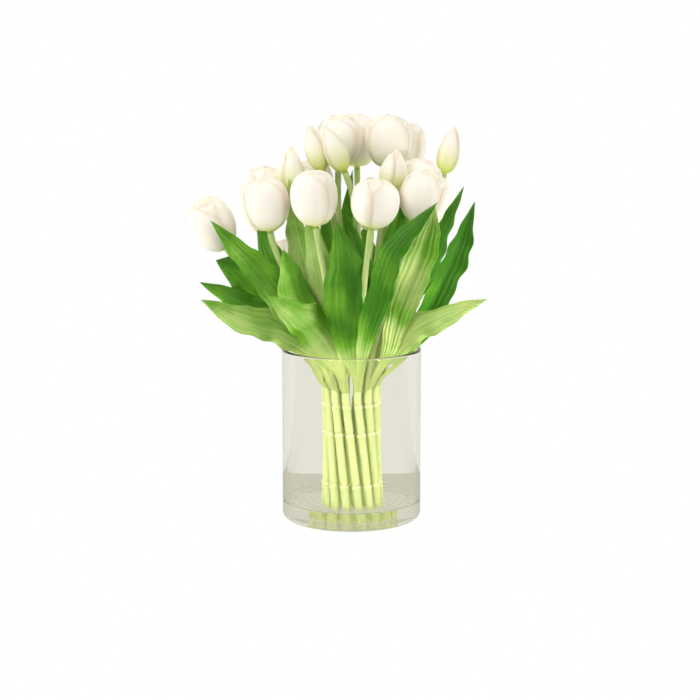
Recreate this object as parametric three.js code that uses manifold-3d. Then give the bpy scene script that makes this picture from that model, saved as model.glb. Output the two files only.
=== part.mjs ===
// Tulips in a straight glass vase with a little water. Millimetres, +Z up.
// The origin is on the table, under the middle of the vase. The front of the bunch faces -Y.
import * as THREE from "three";
import { mergeVertices } from "three/addons/utils/BufferGeometryUtils.js";
import Module from "manifold-3d";

const wasm = await Module();
wasm.setup();

// Vase and water
const VASE_RADIUS = 75;
const VASE_HEIGHT = 186;
const WALL = 4.5;
const FLOOR = 3.5;
const FOOT_ROUND = 7;
const INNER_ROUND = 3;
const VASE_SIDES = 30;
const WATER_LEVEL = 20;
const CLEARANCE = 0.3;

// Stems stand in two rings, twist a little on their way up and part above the waist
const OUTER = { radius: 27.5, count: 14 };
const INNER = { radius: 15.5, count: 8 };
const WAIST = { x: 0, y: -12, z: 137 };
const FOOT = { x: 1, y: -5, z: FLOOR + CLEARANCE };
const FOOT_SPREAD = 1.08;
const TWIST = 0.5;
const STEM_SIDES = 6;
const STEM_RADIUS = { foot: 4.4, waist: 4.2, top: 2.9 };
const JOINTS = [41, 98, 129];
const JOINT_LIP = 0.7;
const JOINT_HALF = 1.2;
const UPPER_ROWS = 5;
const RISE = 0.32;
const REACH = 0.25;
const HOLE_MARGIN = 0.7;
const HOLE_OVERRUN = 2;

// A leaf leaves its stem as a sheath, is widest at WIDEST of its length and ends in a point. Its
// edges wave up and down, and swing in and out
const LEAF_THICK = 1.3;
const LEAF_CELLS = 4;
const LEAF_ROWS = 7;
const SHEATH_WIDTH = 9.5;
const SHEATH_FOLD = 0.4;
const FOLD_CURVE = 1.5;
const SHEATH_OFFSET = 7.5;
const LEAF_START = 0.02;
const SHEATH_TOP = 0.1;
const WIDEST = 0.62;
const FULL_WIDTH_FROM = 0.88;
const LEAF_POINT = 1.8;
const WAVE_HEIGHT = 3.2;
const EDGE_SWING = 0.09;
const WAVES = 2.5;
const EDGE_LAG = 1.5;
const FACE_TURN = { from: 0.05, to: 0.35 };
const FOLD_TURN = { from: 0.08, to: 0.4 };
const SWING_START = { from: 0.25, to: 0.45 };
const WAVE_START = { from: 0.3, to: 0.5 };

// Flowers: three outer and three inner petals, or three petals round a core in a bud
const BLOOM = { radius: 24.5, belly: 0.52, point: 2.5, ease: 0.45, thick: 1.2, nest: 0.8 };
const BUD = { radius: 12, belly: 0.38, point: 1.6, ease: 0.8, thick: 1.0, nest: 0.5 };
const HEIGHT_SHARE = 0.98;
const BOTTOM_ROUNDNESS = 0.52;
const PETAL_START = 0.015;
const OUTER_PETAL = { length: 0.975, depth: 0, root: 2 };
const INNER_PETAL = { length: 0.99, depth: 2.8, root: 3.8 };
const BUD_PETAL = { length: 0.98, depth: 0, root: 2 };
const BUD_CORE_DEPTH = 1.6;
const PETAL_CELLS = 4;
const PETAL_ROWS = 4;
const PETAL_HALF_ANGLE = 1.12;
const PETAL_TIP = 4.6;
const PETAL_ROOT = 1.5;
const PETAL_OPEN = 0.15;
const SEAT_HEIGHT = 8;
const SEAT_RADIUS = 4.5;
const CORE_ROWS = [0.25, 0.5, 0.75];
const CORE_BASE = 3;
const CORE_TOP = 0.9;

const COLOURS = { glass: 0xe8efec, water: 0xdfe9e4, leafy: 0x5f9a3a, bloom: 0xf6efe2, bud: 0xf1edc9 };

// Each tulip: its place in a ring of stems, its flower with the seat, the tip and the turn of the
// petals in degrees, and its leaves. A leaf's route leads from its stem to its tip. Its face looks
// outwards along face, its edges are bent back by fold, or forwards where that is negative.
const TULIPS = [
  {
    name: "front_centre", ring: OUTER, place: 0,
    kind: "bloom", seat: [20, -78, 323], tip: [28, -77, 376], turn: 199,
    leaves: [
      {
        route: [[-4, -62, 205], [-7, -73, 250], [-8, -79, 293], [-15, -82, 331]],
        width: 43, face: [0, -1, 0], fold: 0.25,
      },
      {
        route: [[14, -68, 205], [29, -84, 262], [45, -92, 305], [87, -96, 352]],
        width: 28, face: [-0.2, -1, 0], fold: 0.3,
      },
    ],
  },
  {
    name: "front_right", ring: OUTER, place: 1,
    kind: "bloom", seat: [65, -58, 327], tip: [84, -61, 382], turn: 250,
    leaves: [
      {
        route: [[39, -48, 190], [50, -60, 240], [70, -70, 290], [85, -84, 348]],
        width: 35, face: [0.2, -1, 0], fold: -0.2, widest: 0.72,
      },
      {
        route: [[37, -41, 181], [65, -52, 213], [104, -60, 234], [141, -58, 247]],
        width: 31, face: [0.3, -1, 0.6], fold: 0.4, widest: 0.55,
      },
    ],
  },
  {
    name: "right", ring: OUTER, place: 2,
    kind: "bloom", seat: [66, -2, 332], tip: [76, 4, 390], turn: 30,
    leaves: [
      {
        route: [[50, -26, 174], [76, -30, 222], [104, -31, 282], [129, -30, 346]],
        width: 37, face: [0.6, -1, 0], fold: -0.4,
      },
    ],
  },
  {
    name: "right_bud", ring: OUTER, place: 3,
    kind: "bud", seat: [99, 24, 370], tip: [111, 28, 422], turn: 20,
    leaves: [
      {
        route: [[48, -6, 190], [68, -5, 240], [94, -3, 300], [119, 0, 359]],
        width: 27, face: [0.6, -1, 0], fold: 0.3,
      },
    ],
  },
  {
    name: "back_right", ring: OUTER, place: 4,
    kind: "bloom", seat: [78, 72, 304], tip: [92, 86, 362], turn: 80,
    leaves: [
      {
        route: [[40, 20, 190], [62, 36, 232], [86, 47, 268], [105, 55, 300]],
        width: 34, face: [0.6, 0.8, 0], fold: 0.3,
      },
    ],
  },
  {
    name: "top_back_right", ring: OUTER, place: 5,
    kind: "bloom", seat: [55, 70, 367], tip: [59, 78, 424], turn: 10,
    leaves: [
      {
        route: [[30, 30, 190], [45, 56, 240], [57, 84, 285], [64, 106, 325]],
        width: 31, face: [0.4, 1, 0], fold: -0.2,
      },
    ],
  },
  {
    name: "back_centre", ring: OUTER, place: 6,
    kind: "bloom", seat: [22, 90, 300], tip: [26, 106, 358], turn: 45,
    leaves: [
      {
        route: [[11, 38, 190], [14, 70, 235], [15, 100, 272], [18, 122, 310]],
        width: 34, face: [0, 1, 0], fold: 0.25,
      },
      {
        route: [[14, 42, 180], [34, 78, 202], [52, 112, 212], [64, 140, 212]],
        width: 30, face: [0.3, 0.8, -0.6], fold: 0.2,
      },
    ],
  },
  {
    name: "back_low", ring: OUTER, place: 7,
    kind: "bloom", seat: [-10, 104, 234], tip: [-14, 132, 288], turn: 100,
    leaves: [
      {
        route: [[-6, 36, 182], [-10, 70, 204], [-16, 106, 212], [-24, 138, 208]],
        width: 34, face: [-0.2, 0.8, -0.5], fold: 0.2,
      },
    ],
  },
  {
    name: "back_left_low", ring: OUTER, place: 8,
    kind: "bloom", seat: [-60, 84, 238], tip: [-77, 104, 291], turn: 150,
    leaves: [
      {
        route: [[-28, 28, 185], [-56, 48, 214], [-90, 64, 238], [-118, 76, 256]],
        width: 32, face: [-0.6, 0.8, 0], fold: 0.25,
      },
      {
        route: [[-32, 28, 178], [-62, 58, 200], [-98, 86, 208], [-130, 104, 204]],
        width: 28, face: [-0.5, 0.5, -0.7], fold: 0.2,
      },
    ],
  },
  {
    name: "back_left", ring: OUTER, place: 9,
    kind: "bloom", seat: [-92, 66, 300], tip: [-100, 76, 358], turn: 60,
    leaves: [
      {
        route: [[-38, 14, 188], [-60, 28, 228], [-88, 42, 260], [-112, 50, 284]],
        width: 30, face: [-1, 0.6, 0], fold: 0.25,
      },
    ],
  },
  {
    name: "left", ring: OUTER, place: 10,
    kind: "bloom", seat: [-131, -28, 296], tip: [-162, -40, 349], turn: 120,
    leaves: [
      {
        route: [[-50, -10, 178], [-80, -29, 227], [-109, -34, 267], [-142, -37, 285]],
        width: 46, face: [-0.3, -1, 0.4], fold: 0.2, widest: 0.76,
      },
    ],
  },
  {
    name: "top_left", ring: OUTER, place: 11,
    kind: "bloom", seat: [-91, 4, 323], tip: [-96, 8, 381], turn: 200,
    leaves: [
      {
        route: [[-47, -26, 188], [-78, -36, 222], [-118, -43, 243], [-159, -44, 263]],
        width: 29, face: [0, -1, 0.3], fold: 0.25,
      },
      {
        route: [[-39, -32, 182], [-71, -43, 210], [-116, -54, 227], [-157, -56, 246]],
        width: 33, face: [-0.2, -1, 0.4], fold: 0.2,
      },
    ],
  },
  {
    name: "front_left", ring: OUTER, place: 12,
    kind: "bloom", seat: [-84, -55, 317], tip: [-93, -52, 375], turn: 28,
    leaves: [
      {
        route: [[-40, -44, 192], [-64, -50, 233], [-96, -58, 276], [-145, -66, 330]],
        width: 32, face: [0, -1, 0.2], fold: -0.25,
      },
      {
        route: [[-30, -42, 186], [-47, -55, 222], [-61, -66, 262], [-70, -73, 301]],
        width: 41, face: [0, -1, 0.1], fold: 0.5,
      },
    ],
  },
  {
    name: "front_left_centre", ring: OUTER, place: 13,
    kind: "bloom", seat: [-36, -73, 324], tip: [-41, -70, 385], turn: 4,
    leaves: [
      {
        route: [[-12, -45, 171], [-30, -52, 207], [-59, -76, 234], [-87, -86, 255]],
        width: 45, face: [0.2, -1, 0.2], fold: 0.15, widest: 0.5,
      },
      {
        route: [[-14, -45, 220], [-29, -49, 262], [-40, -49, 306], [-44, -41, 342]],
        width: 30, face: [-0.2, -1, 0], fold: 0.2,
      },
    ],
  },
  {
    name: "top_front_bud", ring: INNER, place: 0,
    kind: "bud", seat: [-7, -32, 377], tip: [-29, -36, 427], turn: 40,
    leaves: [
      {
        route: [[12, -36, 200], [16, -40, 245], [10, -40, 285], [-9, -36, 335]],
        width: 28, face: [0.3, -1, 0], fold: 0.2,
      },
    ],
  },
  {
    name: "middle_right_bud", ring: INNER, place: 1,
    kind: "bud", seat: [41, -27, 357], tip: [47, -31, 402], turn: 90, girth: 1.18,
    leaves: [
      {
        route: [[18, -22, 200], [33, -27, 258], [45, -31, 312], [57, -32, 364]],
        width: 26, face: [0.3, -1, 0], fold: -0.2,
      },
    ],
  },
  {
    name: "top_right", ring: INNER, place: 2,
    kind: "bloom", seat: [38, 20, 376], tip: [41, 22, 435], turn: 147,
    leaves: [],
  },
  {
    name: "top_back", ring: INNER, place: 3,
    kind: "bloom", seat: [6, 65, 373], tip: [5, 75, 433], turn: 75,
    leaves: [
      {
        route: [[0, 22, 200], [-13, 46, 250], [-25, 64, 300], [-32, 76, 345]],
        width: 26, face: [-0.2, 1, 0], fold: 0.2,
      },
    ],
  },
  {
    name: "top_centre", ring: INNER, place: 4,
    kind: "bloom", seat: [-14, 20, 376], tip: [-12, 22, 435], turn: 136,
    leaves: [
      {
        route: [[-8, 12, 215], [-11, 26, 270], [-4, 36, 325], [1, 40, 373]],
        width: 20, face: [0.2, -1, 0], fold: 0.2,
      },
    ],
  },
  {
    name: "middle_left", ring: INNER, place: 5,
    kind: "bloom", seat: [-40, 14, 331], tip: [-47, 20, 388], turn: 20,
    leaves: [],
  },
  {
    name: "middle_left_bud", ring: INNER, place: 6,
    kind: "bud", seat: [-64, -20, 352], tip: [-64, -18, 405], turn: 60, girth: 1.23,
    leaves: [
      {
        route: [[-28, -28, 205], [-46, -36, 260], [-60, -37, 315], [-65, -37, 371]],
        width: 30, face: [-0.5, -1, 0], fold: 0.2,
      },
    ],
  },
  {
    name: "top_left_bud", ring: INNER, place: 7,
    kind: "bud", seat: [-30, -20, 377], tip: [-45, -24, 427], turn: 10,
    leaves: [
      {
        route: [[-24, -32, 195], [-54, -36, 236], [-82, -38, 285], [-98, -34, 328]],
        width: 36, face: [-0.2, -1, 0], fold: -0.2,
      },
    ],
  },
];

// A smooth step from 0 at low to 1 at high
function ease(low, high, value) {
  return THREE.MathUtils.smoothstep(value, low, high);
}

function vector(values) {
  return new THREE.Vector3(...values);
}

// Only positions, with shared vertices merged, so that the shape is one closed surface
function merged(geometry) {
  geometry.deleteAttribute("normal");
  geometry.deleteAttribute("uv");
  return mergeVertices(geometry, 1e-4);
}

function solid(geometry) {
  return new wasm.Manifold(new wasm.Mesh({
    numProp: 3,
    vertProperties: new Float32Array(geometry.getAttribute("position").array),
    triVerts: new Uint32Array(geometry.getIndex().array),
  }));
}

function geometryOf(shape) {
  const mesh = shape.getMesh();
  const geometry = new THREE.BufferGeometry();
  geometry.setAttribute("position", new THREE.BufferAttribute(new Float32Array(mesh.vertProperties), 3));
  geometry.setIndex(new THREE.BufferAttribute(new Uint32Array(mesh.triVerts), 1));
  return geometry;
}

function fused(geometries) {
  return geometries.map(solid).reduce((whole, piece) => whole.add(piece));
}

// A profile of [radius, height] points turned round the Z axis
function turned(profile, sides) {
  const geometry = new THREE.LatheGeometry(profile.map(([r, z]) => new THREE.Vector2(r, z)), sides);
  return merged(geometry.rotateX(Math.PI / 2));
}

// Points on a quarter circle about [r, z], from one angle to another in degrees
function quarter(r, z, radius, from, to, steps) {
  const points = [];
  for (let step = 0; step <= steps; step += 1) {
    const angle = THREE.MathUtils.degToRad(from + (to - from) * step / steps);
    points.push([r + radius * Math.cos(angle), z + radius * Math.sin(angle)]);
  }
  return points;
}

function vase() {
  const inner = VASE_RADIUS - WALL;
  const lip = WALL / 2;
  return turned([
    [0, 0],
    ...quarter(VASE_RADIUS - FOOT_ROUND, FOOT_ROUND, FOOT_ROUND, -90, 0, 3),
    ...quarter(VASE_RADIUS - lip, VASE_HEIGHT - lip, lip, 0, 180, 4),
    ...quarter(inner - INNER_ROUND, FLOOR + INNER_ROUND, INNER_ROUND, 0, -90, 2),
    [0, FLOOR],
  ], VASE_SIDES);
}

// A thin blade: surface(u, s) runs across from -1 to 1 and along from 0 at the root to 1 at the tip.
// Its two faces are split alike, meet in its edges and end in one point at the root and at the tip.
function blade(surface, cells, rows, thick) {
  const step = 1e-3;
  const positions = [];
  const front = [];
  const back = [];
  const put = (point) => {
    positions.push(point.x, point.y, point.z);
    return positions.length / 3 - 1;
  };
  for (let row = 0; row < rows - 1; row += 1) {
    front.push([]);
    back.push([]);
    for (let cell = 0; cell <= cells; cell += 1) {
      const u = 2 * cell / cells - 1;
      const s = (row + 1) / rows;
      const middle = surface(u, s);
      if (cell === 0 || cell === cells) {
        front[row].push(put(middle));
        back[row].push(front[row][cell]);
        continue;
      }
      const across = surface(u + step, s).sub(surface(u - step, s));
      const along = surface(u, s + step).sub(surface(u, s - step));
      const lift = across.cross(along).normalize().multiplyScalar(thick / 2);
      front[row].push(put(middle.clone().add(lift)));
      back[row].push(put(middle.clone().sub(lift)));
    }
  }
  const root = put(surface(0, 0));
  const tip = put(surface(0, 1));
  const triangles = [];
  const face = (grid, flip) => {
    const add = (a, b, c) => triangles.push(...(flip ? [a, c, b] : [a, b, c]));
    for (let cell = 0; cell < cells; cell += 1) {
      add(root, grid[0][cell + 1], grid[0][cell]);
      for (let row = 0; row + 1 < grid.length; row += 1) {
        const [a, b] = [grid[row][cell], grid[row][cell + 1]];
        const [d, c] = [grid[row + 1][cell], grid[row + 1][cell + 1]];
        add(a, b, c);
        add(a, c, d);
      }
      add(grid[rows - 2][cell], grid[rows - 2][cell + 1], tip);
    }
  };
  face(front, false);
  face(back, true);
  const geometry = new THREE.BufferGeometry();
  geometry.setAttribute("position", new THREE.Float32BufferAttribute(positions, 3));
  geometry.setIndex(triangles);
  return geometry;
}

// Where a stem of a ring stands on the floor and where it passes the waist
function footAndWaist({ ring, place }) {
  const angle = 2 * Math.PI * (place + 0.5) / ring.count - Math.PI / 2;
  const outward = new THREE.Vector3(Math.cos(angle), Math.sin(angle), 0);
  const turnedOn = angle + TWIST;
  const spread = new THREE.Vector3(Math.cos(turnedOn), Math.sin(turnedOn), 0);
  const foot = vector([FOOT.x, FOOT.y, FOOT.z]).addScaledVector(spread, ring.radius * FOOT_SPREAD);
  const waist = vector([WAIST.x, WAIST.y, WAIST.z]).addScaledVector(outward, ring.radius);
  return { foot, waist, outward };
}

// The curve of a stem from the waist to just below its flower
function upperStem(tulip) {
  const { waist } = footAndWaist(tulip);
  const axis = vector(tulip.tip).sub(vector(tulip.seat)).normalize();
  const end = vector(tulip.seat).addScaledVector(axis, -CLEARANCE);
  const length = end.distanceTo(waist);
  const rise = waist.clone().add(new THREE.Vector3(0, 0, length * RISE));
  const reach = end.clone().addScaledVector(axis, -length * REACH);
  return new THREE.CubicBezierCurve3(waist, rise, reach, end);
}

// The stem's rows: centre, direction and radius, with a narrow lip at each ring joint
function stemRows(tulip) {
  const { foot, waist } = footAndWaist(tulip);
  const lower = waist.clone().sub(foot);
  const along = lower.clone().normalize();
  const row = (height, radius) => ({
    centre: foot.clone().addScaledVector(lower, (height - foot.z) / lower.z),
    along,
    radius,
  });
  const rows = [{ centre: foot, along: new THREE.Vector3(0, 0, 1), radius: STEM_RADIUS.foot }];
  for (const height of JOINTS) {
    rows.push(row(height - JOINT_HALF, STEM_RADIUS.waist + JOINT_LIP));
    rows.push(row(height + JOINT_HALF, STEM_RADIUS.waist - JOINT_LIP / 3));
  }
  const curve = upperStem(tulip);
  for (let step = 1; step <= UPPER_ROWS; step += 1) {
    const t = step / UPPER_ROWS;
    const radius = THREE.MathUtils.lerp(STEM_RADIUS.waist, STEM_RADIUS.top, t);
    rows.push({ centre: curve.getPoint(t), along: curve.getTangent(t), radius });
  }
  return rows;
}

// A closed cylinder bent along rows of centres, directions and radii
function bentRod(rows, sides) {
  const geometry = new THREE.CylinderGeometry(1, 1, rows.length - 1, sides, rows.length - 1);
  const position = geometry.getAttribute("position");
  const point = new THREE.Vector3();
  for (let index = 0; index < position.count; index += 1) {
    point.fromBufferAttribute(position, index);
    const { centre, along, radius } = rows[Math.round(point.y + (rows.length - 1) / 2)];
    const side = new THREE.Vector3(0, 1, 0).cross(along).normalize();
    const front = side.clone().cross(along);
    const placed = centre.clone();
    placed.addScaledVector(side, point.x * radius).addScaledVector(front, point.z * radius);
    position.setXYZ(index, placed.x, placed.y, placed.z);
  }
  return merged(geometry);
}

// A leaf's width along its length: a narrow sheath, then broad, then a point
function leafWidth(width, widest, s) {
  const spread = ease(SHEATH_TOP, FULL_WIDTH_FROM * widest, s);
  const point = 1 - Math.max(0, (s - widest) / (1 - widest)) ** LEAF_POINT;
  return THREE.MathUtils.lerp(SHEATH_WIDTH, width, spread) * point;
}

function leaf(tulip, { route, width, face, fold, widest = WIDEST }) {
  const stem = upperStem(tulip);
  const root = stem.getPoint(LEAF_START);
  const towards = vector(route[0]).sub(root).setZ(0).normalize();
  const outward = footAndWaist(tulip).outward.add(towards).normalize();
  const sheath = stem.getPoint(SHEATH_TOP).addScaledVector(outward, SHEATH_OFFSET);
  const curve = new THREE.CatmullRomCurve3([root, sheath, ...route.map(vector)], false, "catmullrom", 0.5);
  const looks = vector(face).normalize();
  const surface = (u, s) => {
    const place = THREE.MathUtils.clamp(s, 0, 1);
    const along = curve.getTangentAt(place);
    const normal = outward.clone().lerp(looks, ease(FACE_TURN.from, FACE_TURN.to, place));
    normal.addScaledVector(along, -normal.dot(along)).normalize();
    const side = along.clone().cross(normal);
    const lag = u > 0 ? EDGE_LAG : 0;
    const turns = 2 * Math.PI * WAVES * place + width;
    const swing = EDGE_SWING * ease(SWING_START.from, SWING_START.to, place) * Math.sin(turns + 2 * lag);
    const half = leafWidth(width, widest, place) * (1 + swing) / 2;
    const bend = THREE.MathUtils.lerp(SHEATH_FOLD, fold, ease(FOLD_TURN.from, FOLD_TURN.to, place));
    const wave = 2 * WAVE_HEIGHT * ease(WAVE_START.from, WAVE_START.to, place) * (1 - place)
      * Math.sin(turns + lag);
    return curve.getPointAt(place)
      .addScaledVector(side, u * half / Math.sqrt(1 + bend * bend))
      .addScaledVector(normal, -bend * half * Math.abs(u) ** FOLD_CURVE + wave * u * u);
  };
  return blade(surface, LEAF_CELLS, LEAF_ROWS, LEAF_THICK);
}

function leafyStem(tulip) {
  const leaves = tulip.leaves.map((one) => leaf(tulip, one));
  return geometryOf(fused([bentRod(stemRows(tulip), STEM_SIDES), ...leaves]));
}

// The flower's outline: the radius at a height given as a share of the whole
function outline(form, share) {
  if (share < form.belly) {
    return form.radius * (1 - (1 - share / form.belly) ** 2) ** BOTTOM_ROUNDNESS;
  }
  return form.radius * (1 - ((share - form.belly) / (1 - form.belly)) ** form.point) ** form.ease;
}

// A point of the outline at s of a petal's length, moved inwards by depth across the petal
function meridian(form, petal, s, depth) {
  const share = (at) => PETAL_START + (petal.length - PETAL_START) * (1 - Math.cos(Math.PI * at)) / 2;
  const place = THREE.MathUtils.clamp(s, 0, 1);
  const low = share(Math.max(place - 0.01, 0));
  const high = share(Math.min(place + 0.01, 1));
  const widening = outline(form, high) - outline(form, low);
  const slope = new THREE.Vector2(widening, (high - low) * form.height).normalize();
  const radius = outline(form, share(place)) - depth * slope.y;
  const height = share(place) * form.height + depth * slope.x;
  const open = ease(0, PETAL_OPEN, place);
  return new THREE.Vector2(
    THREE.MathUtils.lerp(PETAL_ROOT, radius, open),
    THREE.MathUtils.lerp(petal.root, height, open),
  );
}

function petal(form, shape, angle) {
  const surface = (u, s) => {
    const place = THREE.MathUtils.clamp(s, 0, 1);
    const rise = (1 - Math.cos(Math.PI * place)) / 2;
    const turn = angle + u * PETAL_HALF_ANGLE * Math.sqrt(1 - rise ** PETAL_TIP);
    const at = meridian(form, shape, place, shape.depth - form.nest * u);
    return new THREE.Vector3(at.x * Math.cos(turn), at.x * Math.sin(turn), at.y);
  };
  return blade(surface, PETAL_CELLS, PETAL_ROWS, form.thick);
}

function flower(tulip) {
  const kind = tulip.kind === "bloom" ? BLOOM : BUD;
  const reach = vector(tulip.tip).distanceTo(vector(tulip.seat));
  const form = { ...kind, radius: kind.radius * (tulip.girth ?? 1), height: reach * HEIGHT_SHARE };
  const start = THREE.MathUtils.degToRad(tulip.turn);
  const seat = new THREE.ConeGeometry(SEAT_RADIUS, SEAT_HEIGHT, STEM_SIDES);
  const pieces = [merged(seat.rotateX(Math.PI / 2).translate(0, 0, SEAT_HEIGHT / 2))];
  for (let count = 0; count < 3; count += 1) {
    const angle = start + 2 * Math.PI * count / 3;
    if (tulip.kind === "bloom") {
      pieces.push(petal(form, OUTER_PETAL, angle), petal(form, INNER_PETAL, angle + Math.PI / 3));
    } else {
      pieces.push(petal(form, BUD_PETAL, angle));
    }
  }
  if (tulip.kind === "bud") {
    const core = [[0, CORE_BASE]];
    for (const s of CORE_ROWS) {
      const at = meridian(form, BUD_PETAL, s, BUD_CORE_DEPTH);
      core.push([at.x, at.y]);
    }
    core.push([0, form.height * CORE_TOP]);
    pieces.push(turned(core, STEM_SIDES));
  }
  const geometry = geometryOf(fused(pieces));
  const axis = vector(tulip.tip).sub(vector(tulip.seat)).normalize();
  const lean = new THREE.Quaternion().setFromUnitVectors(new THREE.Vector3(0, 0, 1), axis);
  return geometry.applyQuaternion(lean).translate(...tulip.seat);
}

// The water fills the vase to its level, with a plain hole round each stem
function water() {
  const radius = VASE_RADIUS - WALL - CLEARANCE;
  const bottom = FLOOR + CLEARANCE;
  let body = solid(turned([
    [0, bottom],
    [radius - INNER_ROUND, bottom],
    [radius, bottom + INNER_ROUND],
    [radius, WATER_LEVEL],
    [0, WATER_LEVEL],
  ], VASE_SIDES));
  for (const tulip of TULIPS) {
    const { foot, waist } = footAndWaist(tulip);
    const lower = waist.clone().sub(foot);
    const along = lower.clone().normalize();
    const hole = [bottom - HOLE_OVERRUN, WATER_LEVEL + HOLE_OVERRUN].map((height) => ({
      centre: foot.clone().addScaledVector(lower, (height - foot.z) / lower.z),
      along,
      radius: STEM_RADIUS.foot + HOLE_MARGIN,
    }));
    body = body.subtract(solid(bentRod(hole, STEM_SIDES)));
  }
  return geometryOf(body);
}

function piece(name, geometry, material) {
  geometry.computeVertexNormals();
  const mesh = new THREE.Mesh(geometry, material);
  mesh.name = name;
  return mesh;
}

const glass = new THREE.MeshStandardMaterial({ color: COLOURS.glass, roughness: 0.05, metalness: 0 });
const clearWater = new THREE.MeshStandardMaterial({ color: COLOURS.water, roughness: 0.02, metalness: 0 });
const leafy = new THREE.MeshStandardMaterial({ color: COLOURS.leafy, roughness: 0.5, metalness: 0 });
const ivory = new THREE.MeshStandardMaterial({ color: COLOURS.bloom, roughness: 0.6, metalness: 0 });
const paleBud = new THREE.MeshStandardMaterial({ color: COLOURS.bud, roughness: 0.6, metalness: 0 });

const bunch = new THREE.Group();
bunch.add(piece("vase", vase(), glass));
bunch.add(piece("water", water(), clearWater));
for (const tulip of TULIPS) {
  bunch.add(piece(`${tulip.name}_leafy_stem`, leafyStem(tulip), leafy));
  const petals = tulip.kind === "bloom" ? ivory : paleBud;
  const label = tulip.name.endsWith("bud") ? `${tulip.name}_flower` : `${tulip.name}_bloom`;
  bunch.add(piece(label, flower(tulip), petals));
}

export default bunch;
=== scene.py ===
"""A bunch of ivory tulips in a straight clear glass vase with a little water.

Lengths in this file are millimetres, as in the part's own drawing, and become metres where a mesh is
made. The vase stands on the floor with its axis on Z, and the front of the bunch faces -Y.
"""
from dataclasses import dataclass, field, replace

import bpy
import numpy as np
from mathutils import Matrix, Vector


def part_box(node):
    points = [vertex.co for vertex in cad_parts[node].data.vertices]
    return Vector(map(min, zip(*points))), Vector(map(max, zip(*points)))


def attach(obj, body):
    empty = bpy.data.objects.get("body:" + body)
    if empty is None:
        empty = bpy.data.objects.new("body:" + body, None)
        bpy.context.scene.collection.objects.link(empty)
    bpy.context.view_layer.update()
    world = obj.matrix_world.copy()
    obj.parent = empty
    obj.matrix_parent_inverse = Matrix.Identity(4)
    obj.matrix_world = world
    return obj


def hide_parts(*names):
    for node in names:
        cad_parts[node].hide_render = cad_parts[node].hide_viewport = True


bl_info = {
    "name": "Tulips in a Glass Vase",
    "version": (1, 0, 0),
    "blender": (4, 5, 0),
    "location": "View3D > Sidebar > Tulips",
    "description": "Builds a bunch of ivory tulips in a straight glass vase",
    "category": "Object",
}

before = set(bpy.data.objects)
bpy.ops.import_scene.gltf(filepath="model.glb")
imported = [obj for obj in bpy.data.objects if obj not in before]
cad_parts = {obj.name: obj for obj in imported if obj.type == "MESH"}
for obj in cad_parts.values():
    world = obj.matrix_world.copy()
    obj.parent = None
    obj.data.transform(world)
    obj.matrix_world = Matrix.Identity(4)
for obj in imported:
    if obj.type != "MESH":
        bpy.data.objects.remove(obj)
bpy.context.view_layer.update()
VASE_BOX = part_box("vase")
WATER_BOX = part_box("water")
METRES = 0.001

# Vase and water: the inside floor, round edges, and rows of points beside them that keep them crisp
FLOOR = 3.5
VASE_FOOT = 7.0
VASE_HOLLOW = 3.0
CURVE_LOOP = 0.6
FLOOR_LOOP = 8.0
WALL_LOOPS = (30, 150)
TURNED_SIDES = 192
WETTING = 0.15
WATER_STEPS, WATER_EASE = 120, 1.6
WATER_SINK = 0.6
WATER_LOOP, WATER_LIP = 0.5, 0.08
CLIMB, CLIMB_REACH = 1.1, 1.5
RING_GAP = 7.5
RING_SPAN = (20, 62)
GLASS_INDEX, WATER_INDEX = 1.5, 1.47

# Stems stand in two rings, twist a little on their way up and part above the waist
CLEARANCE = 0.3
WAIST = np.array([0.0, -12.0, 137.0])
FOOT = np.array([1.0, -5.0, FLOOR + CLEARANCE])
FOOT_SPREAD = 1.08
TWIST = 0.5
STEM_FOOT, STEM_WAIST, STEM_TOP = 4.4, 4.2, 2.9
JOINTS = (41.0, 98.0, 129.0)
JOINT_LIP, LIP_BELOW, LIP_WIDTH = 0.8, 1.4, 1.4
JOINT_NECK, NECK_ABOVE, NECK_WIDTH = 0.85, 1.6, 1.3
JOINT_LINE = 1.2
COLLAR, COLLAR_BELOW, COLLAR_WIDTH = 0.5, 6, 9
RISE = 0.32
REACH = 0.25
PALE_TONE, TONE_RISE = 0.15, 0.45
GREEN_START, GREEN_REACH = 140, 170
STEM_STEP = 0.9
STEM_STEPS = 34
STEM_SIDES = 14

# Leaves: a sheath, a broad blade and a point
SHEATH_WIDTH = 9.5
SHEATH_FOLD = 0.4
SHEATH_OFFSET = 7.5
LEAF_START = 0.02
SHEATH_TOP = 0.1
LEAF_POINT = 1.8
LEAF_EASE = 1.25
BROAD_SHARE, BROAD_POWER = 0.88, 0.75
LEAST_HALF = 0.25
WAVES = 2.5
EDGE_LAG = 1.5
EDGE_SWING = 0.09
RUFFLE_SWING = 0.09
RUFFLE_LAG = 1.2
KEEL_DEPTH, KEEL_WIDTH = 0.55, 0.09
RIM_THINNING = 0.8
# Painted light and shade: a leaf's tone is paler where its long waves lift the edges and deeper where they
# drop back
PAINTED_WAVE_SHADE = 0.12
HALF_SHADE = 0.05
BASE_TONE = 0.25
FADE_REACH, FADE_LIFT = 100, 45

# Shares of a leaf's length over which it turns to its face, folds, waves, swings, ruffles and is ribbed
TURN_SPAN = (0.05, 0.35)
FOLD_SPAN = (0.08, 0.4)
WAVE_SPAN = (0.3, 0.5)
SWING_SPAN = (0.25, 0.45)
RUFFLE_SPAN = (0.2, 0.5)
RIB_SPAN = (0.12, 0.3)
KEEL_SPAN = (0.1, 0.3)

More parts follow.
